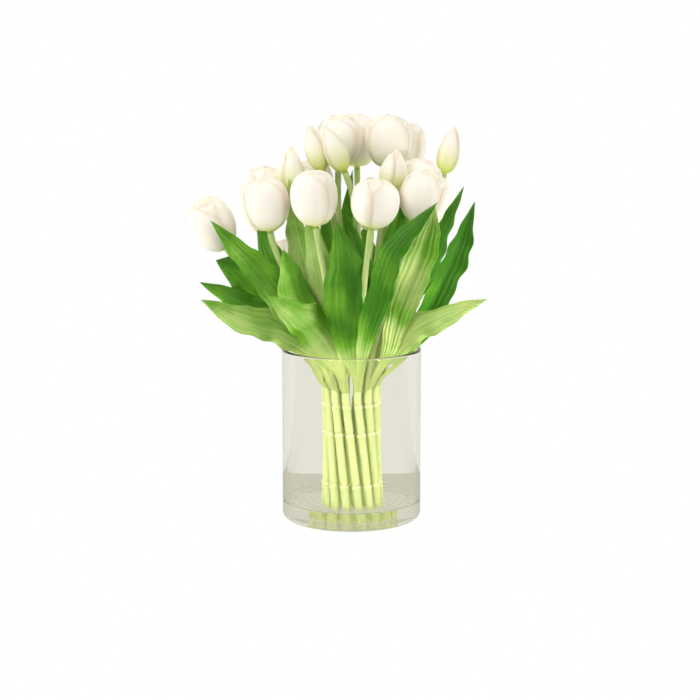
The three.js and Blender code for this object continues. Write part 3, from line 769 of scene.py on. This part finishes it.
def flower_surfaces(tulip, look, seed):
    """All surfaces of one flower, from the receptacle that carries the petals up to its tip"""
    bloom = tulip.kind == "bloom"
    kind, outer, heart, green = BLOOM_PARTS if bloom else BUD_PARTS
    axis = np.subtract(tulip.tip, tulip.seat).astype(float)
    height = np.linalg.norm(axis) * HEIGHT_SHARE
    form = replace(kind, radius=kind.radius * tulip.girth, height=height)
    chance = np.random.default_rng(seed)
    seat = lathe(SEAT_PROFILE, SEAT_SIDES)
    seat.tone = np.ones(len(seat.points))
    surfaces = [seat, heart_surface(form, heart, green)]
    for count in range(3):
        angle = np.radians(tulip.turn) + 2 * np.pi * count / 3
        surfaces.append(petal_surface(form, outer, angle, look, chance, green))
        if bloom:
            surfaces.append(petal_surface(form, INNER_PETAL, angle + np.pi / 3, look, chance, green))
    lean = leaning(unit(axis))
    for surface in surfaces:
        surface.points = surface.points @ lean.T + np.asarray(tulip.seat, float)
    return surfaces


def vase_profile(vase):
    """The vase's section: a foot with a round edge, a straight wall, a round rim and a flat floor"""
    radius = vase.radius / METRES
    height = vase.height / METRES
    wall = vase.wall / METRES
    lip = wall / 2
    inner = radius - wall
    below_rim = height - lip - CURVE_LOOP
    low, high = WALL_LOOPS
    return np.concatenate([
        [(0, 0), (radius - 2 * VASE_FOOT, 0), (radius - VASE_FOOT - CURVE_LOOP, 0)],
        quarter(radius - VASE_FOOT, VASE_FOOT, VASE_FOOT, -90, 0, 24),
        [(radius, VASE_FOOT + CURVE_LOOP), (radius, low), (radius, high), (radius, below_rim)],
        quarter(radius - lip, height - lip, lip, 0, 180, 24),
        [(inner, below_rim), (inner, high), (inner, low), (inner, FLOOR + VASE_HOLLOW + CURVE_LOOP)],
        quarter(inner - VASE_HOLLOW, FLOOR + VASE_HOLLOW, VASE_HOLLOW, 0, -90, 16),
        [(inner - VASE_HOLLOW - CURVE_LOOP, FLOOR), (inner - FLOOR_LOOP, FLOOR), (0, FLOOR)],
    ])


def water_profile(vase, water):
    """The water's section.

    It wets the glass, climbs at the wall by an exponential of the distance from it, and carries faint
    rings, a cosine of that distance.
    """
    inner = (vase.radius - vase.wall) / METRES + WETTING
    level = water.level / METRES - WATER_SINK
    radius = inner - (inner - 1) * np.linspace(0, 1, WATER_STEPS) ** WATER_EASE
    away = inner - radius
    climb = CLIMB * np.exp(-away / CLIMB_REACH)
    rings = water.ripple / METRES * np.cos(2 * np.pi * away / RING_GAP) * smooth(*RING_SPAN, radius)
    top = np.stack([radius, level + climb + rings], axis=-1)
    edge = top[0, 1]
    low = FLOOR - WETTING
    curve = VASE_HOLLOW + WETTING
    bend = FLOOR + VASE_HOLLOW
    return np.concatenate([
        [(0, low), (inner - FLOOR_LOOP, low), (inner - VASE_HOLLOW - CURVE_LOOP, low)],
        quarter(inner - curve, bend, curve, -90, 0, 16),
        [(inner, bend + WATER_LOOP), (inner, edge - 2 * WATER_LOOP), (inner, edge - WATER_LIP)],
        top,
        [(0, level)],
    ])


def make_material(name):
    """A new material's node tree and its Principled BSDF"""
    material = bpy.data.materials.new(name)
    material.use_nodes = True
    tree = material.node_tree
    return tree, tree.nodes["Principled BSDF"]


def set_inputs(tree, node, values):
    """Sets a node's inputs to values, or links them to other nodes' outputs"""
    for key, value in values.items():
        if isinstance(value, bpy.types.NodeSocket):
            tree.links.new(value, node.inputs[key])
        else:
            node.inputs[key].default_value = value


def add_node(tree, kind, values=None, **settings):
    """A node with its settings and its inputs"""
    made = tree.nodes.new(kind)
    for key, setting in settings.items():
        setattr(made, key, setting)
    set_inputs(tree, made, values or {})
    return made


def ramp(tree, fac, stops):
    """A colour ramp with a colour at each of the given places"""
    made = add_node(tree, "ShaderNodeValToRGB", {"Fac": fac})
    elements = made.color_ramp.elements
    while len(elements) < len(stops):
        elements.new(0.5)
    for element, (place, shade) in zip(elements, stops.items()):
        element.position = place
        element.color = (*shade, 1)
    return made.outputs["Color"]


def mix(tree, fac, first, second, blend="MIX"):
    """A colour mix of two sockets or colours"""
    values = {0: fac}
    for index, value in ((6, first), (7, second)):
        values[index] = value if isinstance(value, bpy.types.NodeSocket) else (*value, 1)
    made = add_node(tree, "ShaderNodeMix", values, data_type="RGBA", blend_type=blend)
    return made.outputs[2]


def math(tree, operation, first, second=0.0):
    """A math node's result"""
    return add_node(tree, "ShaderNodeMath", {0: first, 1: second}, operation=operation).outputs[0]


def span(tree, value, given, made, kind="LINEAR"):
    """A value taken from one range to another, and held at its ends"""
    ends = {"From Min": given[0], "From Max": given[1], "To Min": made[0], "To Max": made[1]}
    values = {"Value": value, **ends}
    return add_node(tree, "ShaderNodeMapRange", values, interpolation_type=kind).outputs["Result"]


def sway(tree, value, effect, size):
    """A value moved up and down by an effect between 0 and 1, over a range of the given size"""
    return math(tree, "ADD", value, math(tree, "MULTIPLY", math(tree, "SUBTRACT", effect, 0.5), size))


def stain(tree, base, effect, share, tint):
    """A colour multiplied by a tint by a share of an effect"""
    return mix(tree, math(tree, "MULTIPLY", effect, share), base, tint, "MULTIPLY")


def effect_group(name, place, numbers, result):
    """A shared effect that reads a place and some numbers: its tree, its inputs and its one output"""
    group = bpy.data.node_groups.new(name, "ShaderNodeTree")
    group.interface.new_socket(place, in_out="INPUT", socket_type="NodeSocketVector")
    for label, value in numbers.items():
        socket = group.interface.new_socket(label, in_out="INPUT", socket_type="NodeSocketFloat")
        socket.default_value = value
    group.interface.new_socket(result, in_out="OUTPUT", socket_type="NodeSocketFloat")
    given = add_node(group, "NodeGroupInput").outputs
    return group, given, add_node(group, "NodeGroupOutput").inputs[result]


def veins_group():
    """Shared effect: fine lines that follow a blade's length, drawn out noise between 0 and 1"""
    group, given, result = effect_group("Fine Veins", "Pattern", {"Lines": 30, "Along": 1.5}, "Veins")
    parts = add_node(group, "ShaderNodeSeparateXYZ", {0: given["Pattern"]}).outputs
    across = math(group, "MULTIPLY", parts["X"], given["Lines"])
    along = math(group, "MULTIPLY", parts["Y"], given["Along"])
    place = add_node(group, "ShaderNodeCombineXYZ", {"X": across, "Y": along}).outputs[0]
    noise = add_node(group, "ShaderNodeTexNoise", {"Vector": place, "Scale": 1.0, "Detail": 2.0,
                                                   "Roughness": 0.6})
    group.links.new(span(group, noise.outputs["Fac"], (0.3, 0.7), (0, 1)), result)


def mottle_group():
    """Shared effect: soft patches between 0 and 1, by place on the object"""
    group, given, result = effect_group("Soft Mottling", "Place", {"Size": 60}, "Patches")
    noise = add_node(group, "ShaderNodeTexNoise", {"Vector": given["Place"], "Scale": given["Size"],
                                                   "Detail": 3.0})
    group.links.new(span(group, noise.outputs["Fac"], (0.35, 0.65), (0, 1)), result)


def use_group(tree, name, values):
    """The result of a shared effect, used in a material with its own values"""
    return add_node(tree, "ShaderNodeGroup", values, node_tree=bpy.data.node_groups[name]).outputs[0]


def plant_material(name, lines, along, size):
    """A plant's material: its tree, Principled BSDF, map, tone, fine lines and soft patches"""
    tree, skin = make_material(name)
    uv = add_node(tree, "ShaderNodeUVMap", uv_map="Pattern").outputs[0]
    tone = add_node(tree, "ShaderNodeAttribute", attribute_name="tone").outputs["Fac"]
    place = add_node(tree, "ShaderNodeTexCoord").outputs["Object"]
    veins = use_group(tree, "Fine Veins", {"Pattern": uv, "Lines": lines, "Along": along})
    return tree, skin, uv, tone, veins, use_group(tree, "Soft Mottling", {"Place": place, "Size": size})


def finish_skin(tree, skin, looks, shade, veins, patches):
    """Gives a plant its colour, a roughness that follows its patches, and a bump that follows its lines"""
    bump = {"Strength": looks.relief, "Distance": looks.relief_depth, "Height": veins}
    set_inputs(tree, skin, {
        "Base Color": shade,
        "Roughness": span(tree, patches, (0, 1), looks.rough),
        "Normal": add_node(tree, "ShaderNodeBump", bump).outputs[0],
        "Subsurface Weight": looks.glow,
        "Subsurface Radius": looks.glow_colour,
        "Subsurface Scale": looks.glow_reach,
        "Specular IOR Level": looks.gloss,
        "Sheen Weight": looks.sheen,
    })


def leaf_material(look):
    """Green leaf: pale at the sheath, deep at the blade, with lengthwise ribs and a satin skin"""
    tree, skin, uv, tone, veins, patches = plant_material("tulip_leaf", lines=34, along=1.6, size=28)
    broad = use_group(tree, "Fine Veins", {"Pattern": uv, "Lines": 9.0, "Along": 2.4})
    shade = sway(tree, sway(tree, tone, patches, 0.26), broad, 0.19)
    green = ramp(tree, shade, {0.0: look.sheath, 0.22: look.fresh, 0.55: look.leaf, 0.95: look.deep})
    green = stain(tree, green, veins, 0.42, (0.62, 0.70, 0.40))
    finish_skin(tree, skin, LEAF_SKIN, green, veins, patches)


def stem_material(look):
    """Pale lime stem with a waxy skin, fine lengthwise lines and a greener upper end"""
    tree, skin, _, tone, veins, patches = plant_material("tulip_stem", lines=26, along=6, size=45)
    green = ramp(tree, tone, {0.0: look.joint, 0.15: look.stem, 0.6: look.upper_stem})
    green = stain(tree, green, patches, 0.25, (0.86, 0.92, 0.68))
    green = stain(tree, green, veins, 0.18, (0.72, 0.78, 0.5))
    finish_skin(tree, skin, STEM_SKIN, green, veins, patches)


def petal_material(look):
    """Ivory petal: a soft velvet skin, faint lengthwise veins, and green yellow at the root.

    Its long edges and its tip, and the heart, are darkened to tan: painted shade for the shadow at the
    seams and in the crown.
    """
    tree, skin, uv, tone, veins, patches = plant_material("tulip_petal", lines=24, along=1.8, size=40)
    parts = add_node(tree, "ShaderNodeSeparateXYZ", {0: uv}).outputs
    root = math(tree, "DIVIDE", parts["Y"], span(tree, tone, (0.2, 1.0), (0.34, 0.68)))
    root = span(tree, math(tree, "SUBTRACT", 1.0, root), (0, 1), (0, 0.95), "SMOOTHSTEP")
    ivory = mix(tree, math(tree, "MULTIPLY", patches, 0.35), look.petal, look.petal_shade)
    ivory = mix(tree, root, ivory, mix(tree, tone, look.bloom_root, look.bud_root))
    ivory = stain(tree, ivory, veins, 0.14, (0.88, 0.80, 0.62))
    # Painted shade: tan darkening at the petals' long edges, towards their tips and on the heart, where
    # seams and crown fall into shadow
    across = math(tree, "SUBTRACT", math(tree, "MODULO", parts["X"], 2.0), 0.5)
    rim = span(tree, math(tree, "ABSOLUTE", across), (0.28, 0.5), (0, 0.6), "SMOOTHSTEP")
    tip = span(tree, parts["Y"], (0.72, 1), (0, 0.5), "SMOOTHSTEP")
    ivory = mix(tree, math(tree, "MAXIMUM", rim, tip), ivory, (0.89, 0.78, 0.61), "MULTIPLY")
    finish_skin(tree, skin, PETAL_SKIN, ivory, veins, patches)


def clear_material(name, tint, index):
    """Clear glass or water with a faint tint and its refractive index"""
    tree, skin = make_material(name)
    values = {"Base Color": (*tint, 1), "Roughness": 0.0, "IOR": index, "Transmission Weight": 1.0}
    set_inputs(tree, skin, values)


def amount(name, description, default, low, high, unit="NONE"):
    """A number that a user can change"""
    return bpy.props.FloatProperty(name=name, description=description, default=default, min=low, max=high,
                                   unit=unit)


def whole(name, description, default, low, high):
    """A whole number that a user can change"""
    return bpy.props.IntProperty(name=name, description=description, default=default, min=low, max=high)


def paint(name, description, default):
    """A colour that a user can change"""
    return bpy.props.FloatVectorProperty(name=name, description=description, default=default,
                                         subtype="COLOR")


class VaseSettings(bpy.types.PropertyGroup):
    """Sizes of the vase, read from the frame"""
    radius: amount("Radius", "Outer radius of the vase", float(VASE_BOX[1][0]), 0.03, 0.2, "LENGTH")
    height: amount("Height", "Height of the vase", float(VASE_BOX[1][2]), 0.05, 0.5, "LENGTH")
    wall: amount("Wall", "Thickness of the glass wall", 0.0045, 0.002, 0.01, "LENGTH")


class WaterSettings(bpy.types.PropertyGroup):
    """The water's level and its faint rings"""
    level: amount("Level", "Height of the water above the floor the vase stands on",
                  float(WATER_BOX[1][2]), 0.012, 0.15, "LENGTH")
    ripple: amount("Ripple", "Height of the faint rings on the water near the glass",
                   0.0003, 0.0, 0.001, "LENGTH")


class PlantSettings(bpy.types.PropertyGroup):
    """Fineness, waves and colours of leaves and petals"""
    leaf_rows: whole("Leaf Rows", "Steps along a leaf", 72, 12, 200)
    leaf_columns: whole("Leaf Columns", "Steps across a leaf", 36, 8, 80)
    leaf_thickness: amount("Leaf Thickness", "Thickness of a leaf in its middle", 0.001, 0.0004, 0.002,
                           "LENGTH")
    wave_height: amount("Wave Height", "Height in millimetres of the long waves in a leaf's edge",
                        3.2, 0.0, 6.0)
    ruffle: amount("Ruffle", "Height of the short waves in a leaf's edge", 0.0016, 0.0, 0.005, "LENGTH")
    ruffle_length: amount("Ruffle Length", "Length of one short wave along a leaf's edge",
                          0.028, 0.01, 0.2, "LENGTH")
    rib_count: whole("Ribs", "Ribs on each half of a leaf", 6, 0, 16)
    rib_depth: amount("Rib Depth", "Depth in millimetres of the ribs along a leaf", 0.32, 0.0, 0.6)
    petal_rows: whole("Petal Rows", "Steps along a petal", 26, 8, 80)
    petal_columns: whole("Petal Columns", "Steps across a petal", 22, 8, 60)
    petal_wave: amount("Petal Wave", "Height in millimetres of the waves in a petal's edge", 0.5, 0.0, 2.0)
    sheath: paint("Sheath", "Colour of a leaf where it leaves the stem", colour(200, 216, 132))
    fresh: paint("Fresh Leaf", "Colour of the lighter leaves", colour(174, 203, 118))
    leaf: paint("Leaf", "Colour of most of the leaves", colour(104, 160, 40))
    deep: paint("Deep Leaf", "Colour of the darkest leaves", colour(56, 116, 16))
    joint: paint("Joint", "Colour of the pale line above each ring joint", colour(242, 248, 196))
    stem: paint("Stem", "Colour of the stems in the vase", colour(222, 234, 164))
    upper_stem: paint("Upper Stem", "Colour of the stems below the flowers", colour(170, 192, 122))
    petal: paint("Petal", "Ivory of the petals", colour(252, 245, 236))
    petal_shade: paint("Petal Shade", "Deeper ivory in the petals' patches", colour(246, 237, 223))
    bloom_root: paint("Bloom Root", "Colour at the root of an open bloom", colour(226, 230, 140))
    bud_root: paint("Bud Root", "Colour at the root of a bud", colour(218, 238, 60))
    glass: paint("Glass", "Tint of the glass", (0.997, 0.997, 0.994))
    water: paint("Water", "Tint of the water", (0.998, 1.0, 0.99))


class StageSettings(bpy.types.PropertyGroup):
    """Light, floor and camera"""
    key_power: amount("Key Light", "Power of the soft light in front and to the left",
                      13.2, 0.0, 500.0, "POWER")
    surround: paint("Surround", "Warm white that lights the scene from all sides", colour(234, 231, 221))
    fill: amount("Fill Lights", "Power of each soft light at the sides", 1.0, 0.0, 50.0, "POWER")
    glass_light: amount("Light Through Glass", "Extra light of the surround on what stands in the glass",
                        0.95, 0.0, 5.0)
    ambient: amount("Ambient", "Strength of the surround", 1.0, 0.0, 5.0)
    floor: paint("Floor", "Colour of the pale floor as the glass sees it", colour(216, 213, 192))
    glint: amount("Glint", "Power of each small light that only shines in gloss", 2.5, 0.0, 20.0, "POWER")
    floor_glow: amount("Floor Glow", "Strength of the floor's own light", 0.63, 0.0, 5.0)
    lens: amount("Lens", "Focal length of the camera in millimetres", 102.17, 20.0, 300.0)


class TULIPS_OT_effects(bpy.types.Operator):
    """Make the node groups that the materials share, and the materials"""
    bl_idname = "tulips.make_materials"
    bl_label = "Make Materials"

    def execute(self, context):
        look = context.scene.tulip_plants
        veins_group()
        mottle_group()
        leaf_material(look)
        stem_material(look)
        petal_material(look)
        clear_material("clear_glass", look.glass, GLASS_INDEX)
        clear_material("clear_water", look.water, WATER_INDEX)
        return {"FINISHED"}


class TULIPS_OT_vase(bpy.types.Operator):
    """Add the straight glass vase"""
    bl_idname = "tulips.add_vase"
    bl_label = "Add Vase"

    def execute(self, context):
        surface = lathe(vase_profile(context.scene.tulip_vase), TURNED_SIDES)
        add_piece("glass_vase", [surface], ["clear_glass"], "vase")
        return {"FINISHED"}


class TULIPS_OT_water(bpy.types.Operator):
    """Add the shallow water"""
    bl_idname = "tulips.add_water"
    bl_label = "Add Water"

    def execute(self, context):
        surface = lathe(water_profile(context.scene.tulip_vase, context.scene.tulip_water), TURNED_SIDES)
        add_piece("clear_shallow_water", [surface], ["clear_water"], "water")
        return {"FINISHED"}


class TULIPS_OT_leafy_stems(bpy.types.Operator):
    """Add every stem with its leaves"""
    bl_idname = "tulips.add_leafy_stems"
    bl_label = "Add Leafy Stems"

    def execute(self, context):
        look = context.scene.tulip_plants
        materials = ["tulip_stem", "tulip_leaf"]
        for number, tulip in enumerate(TULIPS):
            surfaces = [stem_surface(tulip)]
            for count, leaf in enumerate(tulip.leaves):
                surfaces.append(leaf_surface(tulip, leaf, look, 10 * number + count))
            add_piece(f"{tulip.name}_stem_and_leaves", surfaces, materials, f"{tulip.name}_leafy_stem")
        return {"FINISHED"}


class TULIPS_OT_flowers(bpy.types.Operator):
    """Add every bloom and every bud"""
    bl_idname = "tulips.add_flowers"
    bl_label = "Add Blooms and Buds"

    def execute(self, context):
        look = context.scene.tulip_plants
        for number, tulip in enumerate(TULIPS):
            surfaces = flower_surfaces(tulip, look, 100 + number)
            node, slot = ("flower", "bud") if tulip.kind == "bud" else ("bloom", "petals")
            add_piece(f"{tulip.name}_petals", surfaces, ["tulip_petal"], f"{tulip.name}_{node}")
        return {"FINISHED"}


def add_light(lamp, power):
    """A soft square light that looks at its target"""
    data = bpy.data.lights.new(lamp.name, "AREA")
    data.shape = "SQUARE"
    data.size = lamp.size
    data.energy = lamp.share * power
    light = add_object(lamp.name, data)
    aim(light, lamp.place, lamp.target)
    return light


def aim(thing, place, target):
    """Puts a light or a camera at a place and turns it to look at a target, upright"""
    way = unit(np.subtract(target, place).astype(float))
    right = unit(np.cross(way, [0.0, 0.0, 1.0]))
    columns = np.eye(4)
    columns[:3] = np.stack([right, np.cross(right, way), -way, place], axis=1)
    thing.matrix_world = Matrix(columns.tolist())


def add_camera(scene, lens):
    """The camera, level from side to side and tilted down a little"""
    data = bpy.data.cameras.new("camera")
    data.lens = lens
    data.sensor_width = SENSOR_WIDTH
    data.shift_x = CAMERA_SHIFT
    data.clip_end = 50
    tilt = np.radians(CAMERA_TILT)
    scene.camera = add_object("camera", data)
    aim(scene.camera, CAMERA_PLACE, np.add(CAMERA_PLACE, [0, np.cos(tilt), -np.sin(tilt)]))


class TULIPS_OT_stage(bpy.types.Operator):
    """Add the floor, the lights and the camera"""
    bl_idname = "tulips.add_stage"
    bl_label = "Add Stage"

    def execute(self, context):
        stage = context.scene.tulip_stage
        context.scene.view_settings.view_transform = "Standard"
        context.scene.cycles.max_bounces = BOUNCES
        context.scene.cycles.transmission_bounces = BOUNCES
        add_floor(stage)
        light_world(context.scene, stage)
        add_light(KEY, stage.key_power)
        add_light(TOP, stage.key_power)
        for lamp in FILLS:
            fill = add_light(lamp, stage.fill)
            fill.data.spread = np.radians(FILL_SPREAD)
            fill.visible_glossy = False
            fill.visible_transmission = False
        for lamp in GLINTS:
            glint = add_light(lamp, stage.glint)
            glint.visible_diffuse = False
        add_camera(context.scene, stage.lens)
        return {"FINISHED"}


def white_for_camera(tree, shader, white, end):
    """Shows plain white to the camera, and a shader to everything else"""
    white = add_node(tree, white, {"Color": (1, 1, 1, 1), "Strength": 1.0}).outputs[0]
    seen = add_node(tree, "ShaderNodeLightPath").outputs["Is Camera Ray"]
    both = add_node(tree, "ShaderNodeMixShader", {0: seen, 1: shader.outputs[0], 2: white})
    tree.links.new(both.outputs[0], tree.nodes[end].inputs["Surface"])


def add_floor(stage):
    """A pale table that glows softly from below, with its far edge a little behind the vase.

    The camera sees it as plain white. The glass and the flowers see a slightly greyer white, so that
    its far edge shows only through the glass.
    """
    corners = [(-1, -FLOOR_REACH), (1, -FLOOR_REACH), (1, FLOOR_EDGE), (-1, FLOOR_EDGE)]
    mesh = bpy.data.meshes.new("pale_floor")
    mesh.from_pydata([(side * FLOOR_REACH, depth, 0) for side, depth in corners], [], [(0, 1, 2, 3)])
    tree, skin = make_material("pale_floor")
    set_inputs(tree, skin, {
        "Base Color": (0.08, 0.08, 0.07, 1),
        "Roughness": 0.9,
        "Specular IOR Level": 0.1,
        "Emission Color": (*stage.floor, 1),
        "Emission Strength": light_strength(tree, stage.floor_glow, FLOOR_SHINE * stage.glass_light),
    })
    white_for_camera(tree, skin, "ShaderNodeEmission", "Material Output")
    mesh.materials.append(bpy.data.materials["pale_floor"])
    add_object("pale_floor", mesh)


def light_strength(tree, strength, extra):
    """A strength that grows by a share of itself for light that lands on a surface through the glass.

    The soft lights can't shine through glass, so what stands in it would be too dark without this.
    """
    path = add_node(tree, "ShaderNodeLightPath").outputs
    lands = math(tree, "MINIMUM", path["Diffuse Depth"], 1.0)
    through = math(tree, "MINIMUM", path["Transmission Depth"], 1.0)
    more = math(tree, "MULTIPLY", math(tree, "MULTIPLY", lands, through), extra)
    return math(tree, "MULTIPLY", math(tree, "ADD", more, 1.0), strength)


def light_world(scene, stage):
    """An even warm surround that lights the scene, and plain white behind it for the camera"""
    scene.world = bpy.data.worlds.new("surround")
    scene.world.use_nodes = True
    tree = scene.world.node_tree
    background = tree.nodes["Background"]
    strength = light_strength(tree, stage.ambient, stage.glass_light)
    set_inputs(tree, background, {"Color": (*stage.surround, 1), "Strength": strength})
    white_for_camera(tree, background, "ShaderNodeBackground", "World Output")


class TULIPS_PT_panel(bpy.types.Panel):
    """Lists the steps and the sizes"""
    bl_idname = "TULIPS_PT_panel"
    bl_label = "Tulips in a Vase"
    bl_space_type = "VIEW_3D"
    bl_region_type = "UI"
    bl_category = "Tulips"

    def draw(self, context):
        layout = self.layout
        for step in STEPS:
            layout.operator(step.bl_idname)
        for name in SETTINGS:
            group = getattr(context.scene, name)
            for key in group.bl_rna.properties.keys():
                if key not in {"rna_type", "name"}:
                    layout.prop(group, key)


STEPS = (TULIPS_OT_effects, TULIPS_OT_vase, TULIPS_OT_water, TULIPS_OT_leafy_stems, TULIPS_OT_flowers,
         TULIPS_OT_stage)
SETTINGS = {"tulip_vase": VaseSettings, "tulip_water": WaterSettings, "tulip_plants": PlantSettings,
            "tulip_stage": StageSettings}


def register():
    for kind in (*SETTINGS.values(), *STEPS, TULIPS_PT_panel):
        bpy.utils.register_class(kind)
    for name, kind in SETTINGS.items():
        setattr(bpy.types.Scene, name, bpy.props.PointerProperty(type=kind))


def unregister():
    for name in SETTINGS:
        delattr(bpy.types.Scene, name)
    for kind in (TULIPS_PT_panel, *reversed(STEPS), *reversed(SETTINGS.values())):
        bpy.utils.unregister_class(kind)


def main():
    register()
    bpy.ops.tulips.make_materials()
    bpy.ops.tulips.add_vase()
    bpy.ops.tulips.add_water()
    bpy.ops.tulips.add_leafy_stems()
    bpy.ops.tulips.add_flowers()
    bpy.ops.tulips.add_stage()


if __name__ == "__main__":
    main()
